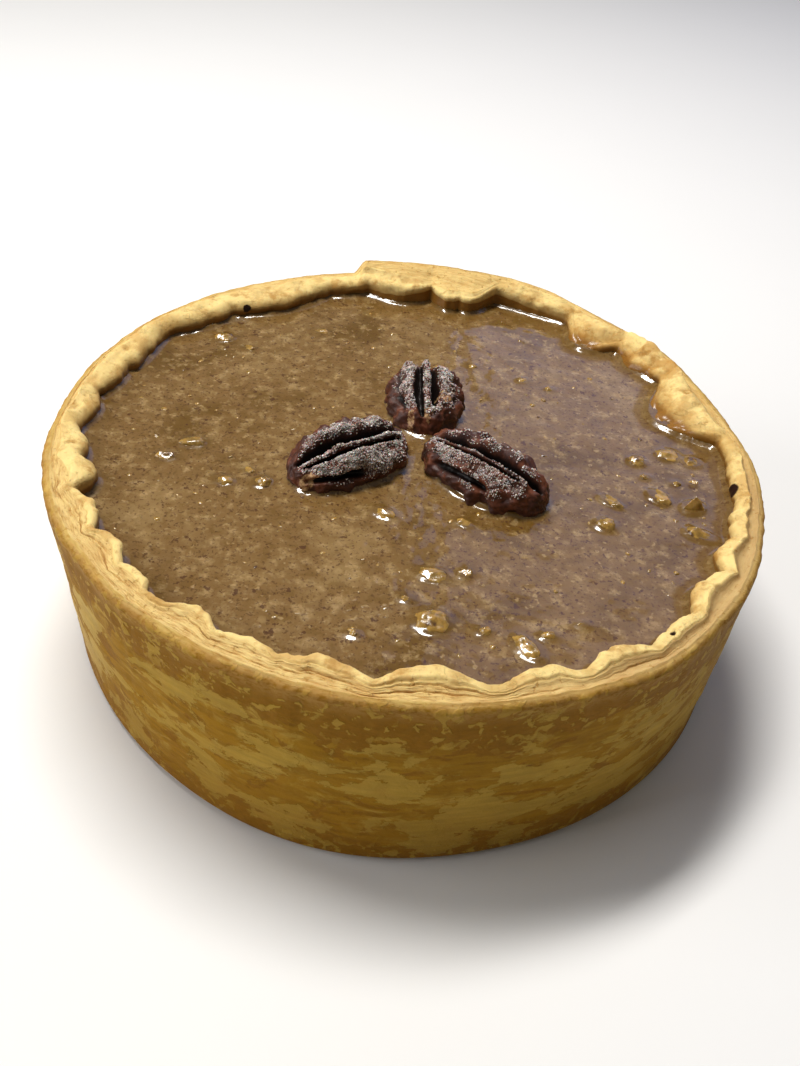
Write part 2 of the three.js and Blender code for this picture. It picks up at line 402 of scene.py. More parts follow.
class Shop:
    """Makes one material: nodes go in by type, settings and socket values."""

    def __init__(self, name):
        self.material = bpy.data.materials.new(name)
        self.material.use_nodes = True
        self.tree = self.material.node_tree
        self.tree.nodes.clear()

    def node(self, kind, settings=None, *values, out=0, **named):
        made = self.tree.nodes.new(kind)
        for key, value in (settings or {}).items():
            setattr(made, key, value)
        for index, value in enumerate(values):
            self.feed(made.inputs[index], value)
        for key, value in named.items():
            self.feed(made.inputs[key.replace("_", " ")], value)
        return Maths(self, made.outputs[out])

    def feed(self, socket, value):
        if value is None:
            return
        if isinstance(value, Maths):
            self.tree.links.new(value.socket, socket)
        elif socket.type == "RGBA" and len(value) == 3:
            socket.default_value = (*value, 1.0)
        else:
            socket.default_value = value

    def place(self):
        """Object coordinates in millimetres."""
        return self.stretch(self.node("ShaderNodeTexCoord", out=3), (1 / MM, 1 / MM, 1 / MM))

    def stretch(self, vector, factors):
        return self.node("ShaderNodeVectorMath", {"operation": "MULTIPLY"}, vector, factors)

    def shift(self, vector, by):
        return self.node("ShaderNodeVectorMath", {"operation": "ADD"}, vector, by)

    def attribute(self, name, out=2):
        """An attribute of the mesh: its value, or with out=1 its vector."""
        return self.node("ShaderNodeAttribute", {"attribute_name": name}, out=out)

    def noise(self, vector, scale, detail=3.0, roughness=0.55, distortion=0.0):
        named = {"Scale": scale, "Detail": detail, "Roughness": roughness, "Distortion": distortion}
        return self.node("ShaderNodeTexNoise", None, Vector=vector, **named)

    def step(self, value, low, high):
        """0 under low, 1 over high, smooth between; low may be the larger."""
        settings = {"interpolation_type": "SMOOTHSTEP"}
        return self.node("ShaderNodeMapRange", settings, value, low, high, 0.0, 1.0)

    def mask(self, vector, low, high, *grain):
        """A mask from noise: 0 under low, 1 over high; grain is the noise's scale, detail and so on."""
        return self.step(self.noise(vector, *grain), low, high)

    def blend(self, mask, first, second):
        settings = {"data_type": "RGBA"}
        return self.node("ShaderNodeMix", settings, mask, *[None] * 5, first, second, out=2)

    def coats(self, tint, *coats):
        """A colour with coats over it, each a mask and its colour."""
        for mask, over in coats:
            tint = self.blend(mask, tint, over)
        return tint

    def bump(self, height, distance):
        return self.node("ShaderNodeBump", None, Distance=distance, Height=height)

    def surface(self, **sockets):
        """The Principled shader and the output; a socket's name has _ for each space."""
        shader = self.node("ShaderNodeBsdfPrincipled", None, **sockets)
        output = self.tree.nodes.new("ShaderNodeOutputMaterial")
        self.tree.links.new(shader.socket, output.inputs[0])
        return self.material


def dim(tint, share):
    return [part * share for part in tint]


def pastry_material(look):
    shop = Shop("baked_pastry")
    place = shop.place()
    names = ("cut", "lip", "layer", "toast", "soak", "crease", "scorch_and_shade", "low", "coarse")
    cut, lip, layer, toast, soak, crease, scorch_and_shade, low, coarse = map(shop.attribute, names)
    strip = shop.attribute("strip", out=1)

    # Wall: pale dry patches with crisp, ragged, sideways outlines on golden dough, and browner ones between;
    # painted shade browns it towards the base, and a painted sheen lightens its left side.
    wide = shop.stretch(place, (1, 1, 1.8))
    broad = shop.noise(wide, 0.074, 9, 0.64, 0.25)
    mottle = shop.noise(shop.shift(wide, (40, 7, 90)), 0.13, 7, 0.62, 0.8)
    islands = shop.noise(shop.shift(wide, (11, 60, 30)), 0.085, 8, 0.62, 0.9)
    fine = shop.noise(shop.stretch(place, (1, 1, 2.0)), 0.9, 4, 0.6)
    streaks = shop.noise(shop.stretch(place, (1, 1, 8)), 0.11, 4, 0.55)
    pale = shop.blend(shop.step(streaks, 0.3, 0.7), look.pale, dim(look.pale, 0.80))
    # Painted sheen: on the wall's left, which faces the left lamp, the pale patches are lightened towards
    # cream.
    pale = shop.blend(shop.attribute("painted_sheen") * shop.step(fine, 0.25, 0.50) * 0.60, pale, look.cream)
    gold = shop.blend(shop.step(streaks, 0.35, 0.65), look.gold, dim(look.gold, 0.78))
    gold = shop.blend(shop.step(mottle, 0.50, 0.60) * 0.35, gold, look.pale)
    brown_and_shade = shop.blend(shop.step(fine, 0.3, 0.7), look.toast, dim(look.toast, 0.78))
    # Painted shade: the browner islands spread a little towards the base.
    browned = shop.step(islands + toast * 0.22 + low * 0.08, 0.575, 0.60)
    patches = shop.step(broad - toast * 0.095, 0.492, 0.506)
    blisters = shop.mask(place, 0.55, 0.62, 0.48, 3, 0.5, 0.3)
    wall = shop.coats(
        gold,
        (browned * 0.75, brown_and_shade),
        (patches * 0.80, pale),
        (shop.step(mottle - toast * 0.04, 0.585, 0.600) * 0.65, pale),
        # Painted shade: the wall browns towards its base.
        (low * 0.45, brown_and_shade),
        (shop.attribute("bead") * shop.step(fine, 0.30, 0.60) * 0.50, look.tan),
        (blisters * toast * 0.75, look.pale),
    )

    # Cut rim: many thin layers, pale with baked edges, and painted shade in the gaps and splits between them
    # and in its pits.
    flakes = shop.noise(strip, 1.4, 6, 0.68, 0.25)
    threads = shop.noise(shop.stretch(shop.shift(strip, (7, 3, 40)), (0.55, 0.55, 1)), 3.6, 4, 0.65, 0.2)
    pale_layer = shop.step(layer * 0.30 + flakes, 0.46, 0.78) * (0.45 + coarse * 0.55)
    gaps = shop.step(threads, 0.39, 0.33) * shop.step(flakes, 0.52, 0.44) * coarse
    # Pits in the dough: dented by the bump and darkened as painted shade.
    pits = shop.mask(shop.shift(place, (31, 2, 8)), 0.40, 0.32, 0.95, 3, 0.6)
    layers = shop.coats(
        look.tan,
        (pale_layer + (1 - coarse) * 0.28, look.cream),
        (shop.mask(place, 0.52, 0.68, 0.085, 4, 0.55) * 0.50, look.tan),
        (shop.step(threads, 0.56, 0.66) * 0.55, look.cream),
        (shop.step(threads, 0.47, 0.38) * (0.18 + coarse * 0.30), look.tan),
        (shop.attribute("dull") * 0.62, look.dull),
        # Painted shade in the gaps between the layers, in their splits and low places, and in the pits.
        (gaps * 0.85, look.toast),
        (shop.step(layer, 0.12, -0.35) * 0.9, look.toast),
        (pits * 0.55, look.stain_and_shade),
    )

    # Lip: smooth pale dough, golden in places, with painted shade in its creases.
    spots = shop.mask(shop.shift(place, (5, 44, 8)), 0.53, 0.68, 0.24, 6, 0.60)
    mottled = shop.mask(shop.shift(place, (2, 19, 6)), 0.44, 0.56, 0.15, 5, 0.58, 0.4)
    mottled = mottled * shop.attribute("baked")
    roll = shop.coats(
        look.cream,
        (shop.mask(place, 0.46, 0.64, 0.16, 5, 0.60, 0.3) * 0.62, look.tan),
        (spots * 0.55, look.tan),
        (spots * spots * 0.35, look.stain_and_shade),
        # Painted shade in the pits.
        (pits * 0.30, look.tan),
        (shop.mask(strip, 0.52, 0.68, 0.5, 4, 0.6) * 0.22, look.tan),
        (mottled * 0.80, look.tan),
        (mottled * spots * 0.70, look.stain_and_shade),
        # Painted shade in the creases between the folds.
        (crease * 0.85, look.stain_and_shade),
    )

    wet = shop.step(soak + shop.noise(place, 0.25, 5, 0.65) * 0.5, 0.62, 1.05)
    damp = shop.step(soak + shop.noise(place, 0.20, 6, 0.68) * 0.9, 0.42, 0.86)
    base = shop.coats(
        wall,
        (cut, layers),
        (lip, roll),
        (damp * 0.5, look.stain_and_shade),
        (wet * 0.92, look.soaked),
        # The scorched colour is real on the spots and painted shade in the hole.
        (shop.step(scorch_and_shade, 0.25, 0.55), look.scorched_and_shade),
    )

    crumb = (flakes + threads * 0.9 - gaps * 0.8) * cut * (0.35 + coarse * 0.65)
    height = shop.noise(place, 1.1, 5, 0.6) * 0.7 - pits * 0.4 * (cut + lip) + crumb
    height = height + patches * (1 - cut) * 0.40 + blisters * toast * 0.9 + (1 - browned) * (1 - cut) * 0.15
    return shop.surface(
        Base_Color=base,
        Roughness=0.64 - wet * 0.30 + cut * 0.10,
        Coat_Weight=wet * 0.5,
        Coat_Roughness=0.22,
        Normal=shop.bump(height, 0.17 * MM),
        Subsurface_Weight=0.10,
        Subsurface_Radius=(1.0, 0.5, 0.2),
        Subsurface_Scale=1.5 * MM,
        Specular_IOR_Level=0.07,
    )


def custard_material(look):
    shop = Shop("nut_custard")
    flat = shop.stretch(shop.place(), (1, 1, 0.2))
    clouds = shop.noise(flat, 0.055, 4, 0.55, 0.3)
    soft = shop.noise(flat, 0.34, 4, 0.60)
    flecks = shop.mask(shop.shift(flat, (9, 31, 5)), 0.62, 0.72, 0.62, 2, 0.5)
    cells = shop.node("ShaderNodeTexVoronoi", None, Vector=flat, Scale=0.20)
    sunk = shop.step(cells + soft * 0.8, 0.62, 0.44)
    sunk = sunk * shop.mask(shop.shift(flat, (3, 80, 1)), 0.46, 0.58, 0.06, 2, 0.5)
    # Painted shade: a band by the pastry on the right and back, where the window's reflection falls away, is
    # darkened and loses its coat.
    shade_band = shop.step(shop.attribute("shade_band") + shop.noise(flat, 0.20, 4, 0.6) * 0.6 - 0.30, 0.25, 0.75)
    body = shop.coats(
        look.body,
        (shop.step(clouds, 0.52, 0.70) * 0.8, look.deep),
        (shop.step(clouds, 0.47, 0.32) * 0.30, look.fleck),
        (shop.step(soft, 0.50, 0.68) * 0.50, look.fleck),
        (shop.step(soft, 0.47, 0.34) * 0.40, look.deep),
        (flecks * 0.60, look.fleck),
        (sunk * 0.42, look.fleck),
        (shop.mask(flat, 0.455, 0.36, 1.25, 3, 0.66) * 0.56, look.speck),
        (shop.mask(shop.shift(flat, (70, 3, 11)), 0.375, 0.335, 0.66, 3, 0.60) * 0.75, look.speck),
        (shop.attribute("nut") * 0.55, look.deep),
        # Painted shade in the band by the pastry.
        (shade_band * 0.35, look.deep),
        (shop.attribute("edge") * 0.6, look.deep),
    )
    height = soft * 0.35 + flecks * 0.25 + shop.noise(flat, 0.22, 2, 0.5) * 0.8
    return shop.surface(
        Base_Color=body,
        Roughness=0.20 + shop.step(soft, 0.4, 0.7) * 0.08,
        Normal=shop.bump(height, 0.10 * MM),
        Subsurface_Weight=0.12,
        Subsurface_Radius=(1.0, 0.45, 0.15),
        Subsurface_Scale=1.2 * MM,
        Specular_IOR_Level=0.15,
        Coat_Weight=1.0 - shade_band * 0.92,
        Coat_Roughness=0.045,
        Coat_IOR=1.48,
    )


def nut_material(look):
    shop = Shop("wet_nut_piece")
    place = shop.place()
    tone = shop.noise(place, 0.5, 4, 0.6)
    body = shop.coats(
        dim(look.nut, 0.50),
        (shop.step(tone, 0.35, 0.65), look.nut),
        (shop.mask(place, 0.56, 0.66, 0.30, 3, 0.5) * 0.85, look.speck),
        (shop.step(tone, 0.60, 0.74) * 0.6, look.fleck),
    )
    return shop.surface(
        Base_Color=body,
        Roughness=0.22,
        Normal=shop.bump(tone, 0.25 * MM),
        Subsurface_Weight=0.2,
        Subsurface_Radius=(1.0, 0.5, 0.15),
        Subsurface_Scale=1.2 * MM,
        Coat_Weight=0.8,
        Coat_Roughness=0.04,
    )


def pecan_material(look):
    shop = Shop("sugared_pecan")
    place = shop.place()
    powder = shop.noise(place, 1.9, 5, 0.85)
    grain = shop.noise(place, 1.0, 5, 0.75)
    frosted = shop.step(shop.attribute("frost") * 0.46 + powder, 0.72, 1.00)
    broken = shop.step(shop.attribute("broken") + grain * 0.9, 1.00, 1.10)
    skin = shop.coats(
        look.skin,
        (shop.mask(place, 0.42, 0.68, 0.35, 5, 0.6), look.ridge),
        # Painted shade: the grooves darken to near black.
        (shop.step(shop.attribute("groove"), 0.14, 0.55), look.groove),
        (frosted * 0.55, look.frost),
        (broken * 0.92, shop.blend(shop.step(grain, 0.4, 0.65), look.ridge, look.flesh)),
    )
    height = frosted * 0.9 + shop.noise(place, 1.1, 4, 0.6) * 0.7
    return shop.surface(
        Base_Color=skin,
        Roughness=0.48 + frosted * 0.30,
        Normal=shop.bump(height, 0.20 * MM),
        Specular_IOR_Level=0.38,
    )


def sugar_material():
    shop = Shop("sugar_grain")
    tone = shop.mask(shop.place(), 0.36, 0.66, 2.8, 2, 0.5)
    return shop.surface(
        Base_Color=shop.blend(tone, (0.36, 0.28, 0.26), (0.72, 0.62, 0.58)),
        Roughness=0.25,
        Subsurface_Weight=0.3,
        Subsurface_Scale=0.5 * MM,
    )


def floor_material(look):
    shop = Shop("pale_floor")
    tone = shop.noise(shop.place(), 0.02, 2, 0.5)
    return shop.surface(Base_Color=shop.blend(tone, look.floor, dim(look.floor, 0.985)), Roughness=0.75)


# ---- forms
def hump(azimuth, at, half):
    """1 at the middle of a span of degrees, easing to 0 at its ends."""
    away = np.abs((azimuth - at + 540) % 360 - 180)
    return np.where(away < half, 0.5 + 0.5 * np.cos(np.pi * np.minimum(away, half) / half), 0.0)


def ease(value, low, high):
    t = np.clip((value - low) / (high - low), 0, 1)
    return t * t * (3 - 2 * t)


def field(points, scale, octaves=3, seed=0.0):
    """Smooth noise about 0 at each point (metres), with features of the given size in mm."""
    shifted = points / (scale * MM) + np.array([seed * 17.3, seed * 5.1, seed * 9.7])
    return np.array([noise.fractal(Vector(p), 1.0, 2.0, octaves) for p in shifted])


def field_on(rows, points, *grain):
    """The same noise on the marked rows only, and 0 on the others."""
    values = np.zeros(len(points))
    values[rows] = field(points[rows], *grain)
    return values


def around(theta, radius, z):
    """The point at each angle (radians), radius and height."""
    return np.stack(np.broadcast_arrays(radius * np.cos(theta), radius * np.sin(theta), z), axis=1)


def bulge(azimuth, places=BULGES):
    return sum(out * MM * hump(azimuth, at, half) for at, half, out in places)


def lip_shape(azimuth):
    """Reach, lift and sag of the lip in metres, and the crease between folds from 0 to 1."""
    shape = np.zeros((4, len(azimuth)))
    for at, half, *sizes in FOLDS:
        share = np.sqrt(hump(azimuth, at, half))
        shape = np.maximum(shape, share * np.array([*sizes, 1.0])[:, None])
    reach, lift, sag = shape[:3] * MM
    return reach, lift, sag, 1 - ease(shape[3], 0.05, 0.40)


def rim_style(azimuth):
    """The cut share of the rim, the roll, step and dish in metres, and the coarseness, at each azimuth."""
    at, *columns = np.array(RIM_STYLE).T
    cut, roll, step, dish, coarse = (np.interp(azimuth, at, column, period=360) for column in columns)
    return cut, roll * MM, step * MM, dish * MM, coarse


def lap_rise(azimuth):
    start, end, ease_in, ease_out, rise = LAP
    return rise * MM * ease(azimuth, start, start + ease_in) * (1 - ease(azimuth, end - ease_out, end))


def lap_share(azimuth):
    """How much of the lap's rise is left at the lip."""
    start, width = FLAP
    return 0.8 - 0.5 * ease(azimuth, start, start + width)


def made_by(operator, **options):
    """The object that an operator adds."""
    bpy.ops.object.select_all(action="DESELECT")
    operator(**options)
    return bpy.context.object


def vertices(piece):
    co = np.zeros(len(piece.data.vertices) * 3)
    piece.data.vertices.foreach_get("co", co)
    return co.reshape(-1, 3)


def move_vertices(piece, points):
    piece.data.vertices.foreach_set("co", points.astype(np.float32).ravel())
    piece.data.update()


def sheet_of_dough(name, steps, rings):
    """A flat grid to be rolled round the tart, with each vertex's share of a turn and its ring."""
    adder = bpy.ops.mesh.primitive_grid_add
    sheet = made_by(adder, x_subdivisions=steps, y_subdivisions=rings - 1, size=1)
    sheet.name = name
    sheet.data.name = name
    co = vertices(sheet) + 0.5
    return sheet, co[:, 0] % 1.0, np.rint(co[:, 1] * (rings - 1)).astype(int)


def settle(piece, points):
    """Gives a piece its vertices and closes its seam and poles."""
    move_vertices(piece, points)
    bpy.context.view_layer.objects.active = piece
    bpy.ops.object.mode_set(mode="EDIT")
    bpy.ops.mesh.select_all(action="SELECT")
    bpy.ops.mesh.remove_doubles(threshold=MERGE_DISTANCE)
    bpy.ops.mesh.normals_make_consistent(inside=False)
    bpy.ops.object.mode_set(mode="OBJECT")
    bpy.ops.object.shade_smooth()


def note(piece, name, values):
    """Stores a value for each vertex, for the material to read."""
    made = piece.data.attributes.new(name, "FLOAT", "POINT")
    made.data.foreach_set("value", np.asarray(values, np.float32))


def finish_piece(piece, material, slot, *nodes):
    piece.data.materials.clear()
    piece.data.materials.append(material)
    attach(piece, BODY)
    if nodes:
        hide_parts(*nodes)


def joined_copies(name, templates, placings):
    """One mesh of many copies: each placing is (template index, 4x4 matrix)."""
    points = []
    faces = []
    count = 0
    for index, matrix in placings:
        verts, polys = templates[index]
        points.append(verts @ np.array(matrix.to_3x3()).T + np.array(matrix.translation))
        faces.extend([[i + count for i in poly] for poly in polys])
        count += len(verts)
    mesh = bpy.data.meshes.new(name)
    mesh.from_pydata(np.concatenate(points).tolist(), [], faces)
    mesh.update()
    made = bpy.data.objects.new(name, mesh)
    bpy.context.scene.collection.objects.link(made)
    return made


def template_of(piece):
    """A piece's vertices and faces, after which the piece is removed."""
    co = vertices(piece)
    polys = [list(p.vertices) for p in piece.data.polygons]
    mesh = piece.data
    bpy.data.objects.remove(piece)
    bpy.data.meshes.remove(mesh)
    return co, polys


def placed(x, y, z, turn, long, wide, tall):
    """The matrix that sizes a unit piece, turns it about Z (radians) and sets it down (mm)."""
    at = Matrix.Translation(Vector((x, y, z)) * MM)
    return at @ Matrix.Rotation(turn, 4, "Z") @ Matrix.Diagonal((long * MM, wide * MM, tall * MM, 1))


# ---- the pastry case
def tucked(back):
    """How far the lip's turned-under edge goes back, which levels off."""
    return TUCK * np.tanh(back / TUCK)


def crust_points(look, share, ring):
    """Vertices of the pastry case, and the values that its material reads."""
    azimuth = share * 360
    theta = np.radians(azimuth)
    outward = around(theta, 1, 0)
    out = bulge(azimuth)
    reach, lift, sag, crease = lip_shape(azimuth)
    flaky, roll, step, dish, coarse = rim_style(azimuth)
    lobes = hump(azimuth, *LOBES)
    ragged = field(outward * look.rim_radius, 2.4, 3, 9.0)
    rim = look.rim_radius + out + 0.25 * MM * ragged
    lap = lap_rise(azimuth)
    top = look.rim_height + lap
    share_left = lap_share(azimuth)
    base_r = look.base_radius + bulge(azimuth, BASE_BULGES)
    dent = 1.3 * MM * crease * lobes
    raised = LIP_RISE + LIFT_SHARE * lift
    crest = look.rim_height + share_left * lap + raised - dent
    thin = ease(flaky, 0.5, 0.75)
    edge = look.lip_radius + BULGE_SHARE * out - reach + (0.25 + 0.35 * thin) * MM * ragged
    inside = look.cavity_radius + BULGE_SHARE * out

    counts = np.array(CASE_RINGS)
    zone = np.repeat(np.arange(len(counts)), counts)[ring]
    t = (ring - (np.cumsum(counts) - counts)[zone]) / counts[zone]
    base, foot, wall, corner, cut, turn, inner, floor = (zone == index for index in range(len(counts)))
    t[floor] *= counts[-1] / (counts[-1] - 1)
    r = np.zeros_like(share)
    z = np.zeros_like(share)

    foot_start = base_r - look.base_edge
    r[base] = foot_start[base] * t[base]
    quarter = t[foot] * np.pi / 2
    r[foot] = foot_start[foot] + look.base_edge * np.sin(quarter)
    z[foot] = look.base_edge * (1 - np.cos(quarter))
    climb = t[wall]
    r[wall] = base_r[wall] + (rim[wall] - base_r[wall]) * climb**1.4
    z[wall] = look.base_edge + (top[wall] - RIM_ROUNDING - look.base_edge) * climb
    bend = t[corner] * np.pi / 2
    r[corner] = rim[corner] - RIM_ROUNDING * (1 - np.cos(bend))
    z[corner] = top[corner] - RIM_ROUNDING * (1 - np.sin(bend))

    across = t[cut]
    face = flaky[cut]
    crown = edge[cut] + roll[cut]
    r[cut] = (rim[cut] - RIM_ROUNDING) * (1 - across) + crown * across
    z[cut] = look.rim_height + lap[cut] * (1 - (1 - share_left[cut]) * ease(across, 0.15, 1.0))
    z[cut] += raised[cut] * ease(across, face * 0.68, face + 0.14)
    z[cut] -= sag[cut] * ease(across, face - 0.05, 1.25) / ease(1.0, face - 0.05, 1.25)
    z[cut] += 0.34 * (sag * lobes)[cut] * np.sin(np.pi * np.clip((across - 0.1) / 0.9, 0, 1))
    z[cut] -= dent[cut] * ease(across, 0.15, 0.7)
    z[cut] -= step[cut] * np.exp(-(((across - face) / 0.05) ** 2))
    z[cut] -= dish[cut] * np.sin(np.pi * np.clip(across / face, 0, 1)) ** 2
    z[cut] += 0.16 * MM * np.exp(-(((across - 0.06) / 0.06) ** 2))

    last = np.radians(ROLL_END)
    circle = t[turn] * last
    back = roll[turn] * (1 - np.sin(circle))
    r[turn] = edge[turn] + np.where(circle > np.pi / 2, tucked(back), back)
    z[turn] = crest[turn] - sag[turn] - roll[turn] * (1 - np.cos(circle))
    down = t[inner]
    from_r = (edge + tucked(roll * (1 - np.sin(last))))[inner]
    from_z = crest[inner] - sag[inner] - roll[inner] * (1 - np.cos(last))
    r[inner] = from_r + (inside[inner] - from_r) * ease(down, 0.5, 0.9)
    below = look.rim_height - INNER_DEPTH
    z[inner] = from_z + (below - from_z) * ease(down, 0.0, 0.9)
    first = t[floor] < 0.01
    r[floor] = np.where(first, look.cavity_radius - 0.5 * MM, look.cavity_radius - 2 * MM)
    r[floor] *= np.clip((1 - t[floor]) * 4 / 3, 0, 1)
    z[floor] = np.where(first, below - 1 * MM, look.floor)
    points = around(theta, r, z)

    # The layers of the cut rim: ridges along it that swell, thin out and split.
    where = around(theta, 0.07, t * 0.004)
    rows = cut | turn
    sway = field_on(rows, where, 11, 3, 2.0)
    swell = field_on(rows, where * [1, 1, 3], 6, 2, 6.0)
    chips = field_on(rows, where * [1, 1, 6], 2.6, 3, 7.0)
    phase = t * 12.0 + sway * 1.4
    ridge = np.abs(((phase % 1) - 0.35) / 0.65)
    layer = np.clip(1 - ridge, 0, 1) ** 0.8
    flakes = cut * (1 - ease(t, flaky - 0.08, flaky + 0.04)) * ease(t, 0.04, 0.16)
    relief = ((layer - 0.55) * (0.10 + 0.16 * swell) + chips * 0.24) * coarse * MM * flakes
    gap = np.zeros_like(share)
    for at, half, place, depth in SPLITS:
        line = cut * np.exp(-(((t - place * flaky - 0.05 * sway) / 0.022) ** 2))
        gap = np.maximum(gap, line * np.sqrt(hump(azimuth, at, half)) * depth * (0.35 + 0.65 * coarse) * MM)
    points[:, 2] += relief - gap
    points += (relief * 0.4)[:, None] * outward

    # The lip is pillowy and finely wrinkled, the wall a little uneven; the base stays flat.
    soft = cut * ease(t, flaky - 0.02, flaky + 0.14) + turn + inner * (1 - ease(t, 0.0, 0.6))
    live = soft > 0.01
    plump = (1 - 0.65 * thin) * (1 - 0.8 * hump(azimuth, *THIN_FOLDS))
    push = field_on(live, points, 6.0, 2, 1.0) * (0.70 + 0.55 * hump(azimuth, *LUMPS))
    push += field_on(live, points, 2.4, 3, 4.0) * 0.24
    push += field_on(live, around(theta, 0.068, r * 0.10), 1.7, 2, 8.0) * 0.20
    tip = np.minimum(t * last, np.pi / 2)
    side = np.where(turn, -np.sin(tip) * (1 - 0.4 * ease(t, 0.5, 1.0)), np.where(cut, 0.0, -0.6))
    push *= soft * plump * MM
    points += (push * side)[:, None] * outward
    points[:, 2] += push * (cut + turn * np.cos(tip))
    skin = wall | foot | corner
    bumps = field_on(skin, points * [1, 1, 2.2], 17, 2, 3.0) * 0.34
    bumps += field_on(skin, points * [1, 1, 3.0], 4.2, 3, 5.0) * 0.10
    points += (bumps * ease(z, 0.5 * MM, 5 * MM) * MM)[:, None] * outward

    # Scorched spots, and the hole, whose dark colour is painted shade.
    scorch_and_shade = np.zeros_like(share)
    for at, spot_r, up, size, depth in SPOTS:
        a = math.radians(at)
        centre = np.array([spot_r * math.cos(a), spot_r * math.sin(a), look.rim_height / MM + up]) * MM
        near = np.exp(-((np.linalg.norm(points - centre, axis=1) / (size * MM)) ** 4))
        near *= cut | turn | inner
        scorch_and_shade = np.maximum(scorch_and_shade, near)
        points[:, 2] -= near * depth * MM

    drop = points[:, 2] - CUSTARD_LEVEL
    under_rim = np.exp(-(((top - 4.5 * MM - z) / (5.5 * MM)) ** 2))
    on_lip = cut * ease(t, flaky - 0.03, flaky + 0.03) + (turn | inner | floor)
    pale_edge = 0.45 + 0.40 * hump(azimuth, *PALE_RIM)
    on_face = (pale_edge + (1 - pale_edge) * ease(t, 0.0, 0.12)) * (1 - on_lip)
    damp = np.maximum(1 - ease(drop, 0.3 * MM, 4.6 * MM), inner + turn * ease(t, 0.60, 0.95))
    values = {
        "cut": cut * on_face + corner * pale_edge * ease(t, 0.4, 1.0),
        "lip": on_lip,
        "coarse": coarse,
        # The layers' relief and splits, whose low places the material darkens as painted shade.
        "layer": np.where(cut, 0.5 + coarse * (0.6 * layer - 0.3 + chips * 0.6) - gap / MM, 0.6),
        "dull": cut * np.clip(dish / (0.5 * MM), 0, 1) * (1 - on_lip),
        "toast": (wall | corner) * under_rim + (wall | foot) * np.exp(-((z / (5 * MM)) ** 2)),
        "soak": (turn | inner | (cut & (t > flaky))) * damp,
        # Painted shade in the creases between the lip's folds.
        "crease": rows * crease * (0.5 + 0.5 * lobes) * np.where(cut, ease(t, 0.30, 0.95), 1 - t),
        # Painted shade, darker towards the base of the wall.
        "low": 1 - ease(z, 0.0, 24 * MM),
        "bead": (wall | corner) * ease(z, top - 4.5 * MM, top - 0.8 * MM),
        # Real scorch on the spots, painted shade in the hole.
        "scorch_and_shade": scorch_and_shade,
        # A painted sheen on the left of the wall, which faces the left lamp.
        "painted_sheen": wall * hump(azimuth, *SHEEN_WALL),
        "baked": rows * lobes,
    }
    return points, values, around(theta, 13, r / MM)


class TART_OT_pastry(bpy.types.Operator):
    """Rolls the pastry case from one sheet: base, wall, cut rim with its layers, and the folded lip"""

    bl_idname = "tart.pastry"
    bl_label = "Pastry case"

    def execute(self, context):
        look = context.scene.tart_pastry
        sheet, share, ring = sheet_of_dough("pastry_case", CASE_AROUND, sum(CASE_RINGS))
        points, values, strip = crust_points(look, share, ring)
        for name, value in values.items():
            note(sheet, name, value)
        made = sheet.data.attributes.new("strip", "FLOAT_VECTOR", "POINT")
        made.data.foreach_set("vector", strip.astype(np.float32).ravel())
        settle(sheet, points)
        finish_piece(sheet, pastry_material(look), "baked_pastry", "crust")
        return {"FINISHED"}


# ---- the custard
def nut_distance(x, y, nut_x, nut_y, long, wide, turn):
    """Distance from a nut's outline in its own sizes, 1 at the outline, and its mean radius (mm)."""
    a = math.radians(turn)
    dx = x / MM - nut_x
    dy = y / MM - nut_y
    u = (dx * math.cos(a) + dy * math.sin(a)) / (long / 2)
    v = (-dx * math.sin(a) + dy * math.cos(a)) / (wide / 2)
    return np.sqrt(u * u + v * v), (long + wide) / 4


def shore_radius(case, azimuth):
    """Radius of the lip's inner face, where the custard meets it."""
    return case.lip_radius + BULGE_SHARE * bulge(azimuth) - lip_shape(azimuth)[0]


def shore_distance(case, x, y):
    """How far each point of the custard lies inside the line where it meets the pastry."""
    azimuth = np.arange(0, 360, 0.25)
    radius = shore_radius(case, azimuth)
    tree = kdtree.KDTree(len(azimuth))
    for index, (a, r) in enumerate(zip(np.radians(azimuth), radius)):
        tree.insert((r * math.cos(a), r * math.sin(a), 0), index)
    tree.balance()
    away = np.array([tree.find((px, py, 0))[2] for px, py in zip(x, y)])
    own = np.degrees(np.arctan2(y, x)) % 360
    return np.where(np.hypot(x, y) < np.interp(own, azimuth, radius, period=360), away, 0)


def custard_height(look, case, flat):
    """How far the custard's surface stands above its level, and the shares of nut, edge and painted shade
    band there.
    """
    x, y, _ = flat.T
    height = field(flat, 16, 2, 1.0) * look.ripple * 0.8 + field(flat, 4.0, 3, 2.0) * look.ripple * 0.45
    to_wall = shore_distance(case, x, y)
    edge = np.exp(-to_wall / (2.2 * MM))
    height += look.meniscus * (0.65 * np.exp(-to_wall / (0.55 * MM)) + 0.5 * edge)
    nut = np.zeros_like(x)
    for *outline, up in NUT_PIECES:
        away, size = nut_distance(x, y, *outline)
        height += 0.34 * min(up, 1.3) * MM * np.exp(-np.maximum(away - 0.86, 0) * size / 0.55)
        nut = np.maximum(nut, np.exp(-((away / 1.35) ** 4)))
    for nut_x, nut_y, long, wide, turn in PECAN_OUTLINES:
        away, size = nut_distance(x, y, nut_x, nut_y, long, wide * 1.02, turn)
        height += 0.9 * look.meniscus * np.exp(-np.maximum(away - 1, 0) * size / 0.8)
    # The band of painted shade by the pastry, ragged on its inner side, only where the window is reflected.
    ragged = to_wall + field(flat, 5.0, 3, 6.0) * 1.1 * MM
    shade_band = ease(to_wall, 0.8 * MM, 1.6 * MM) * (1 - ease(ragged, 1.2 * MM, 5.0 * MM))
    shade_band *= ease(hump(np.degrees(np.arctan2(y, x)), *SHADE_BAND), 0.0, 0.3)
    return height, nut, edge, shade_band


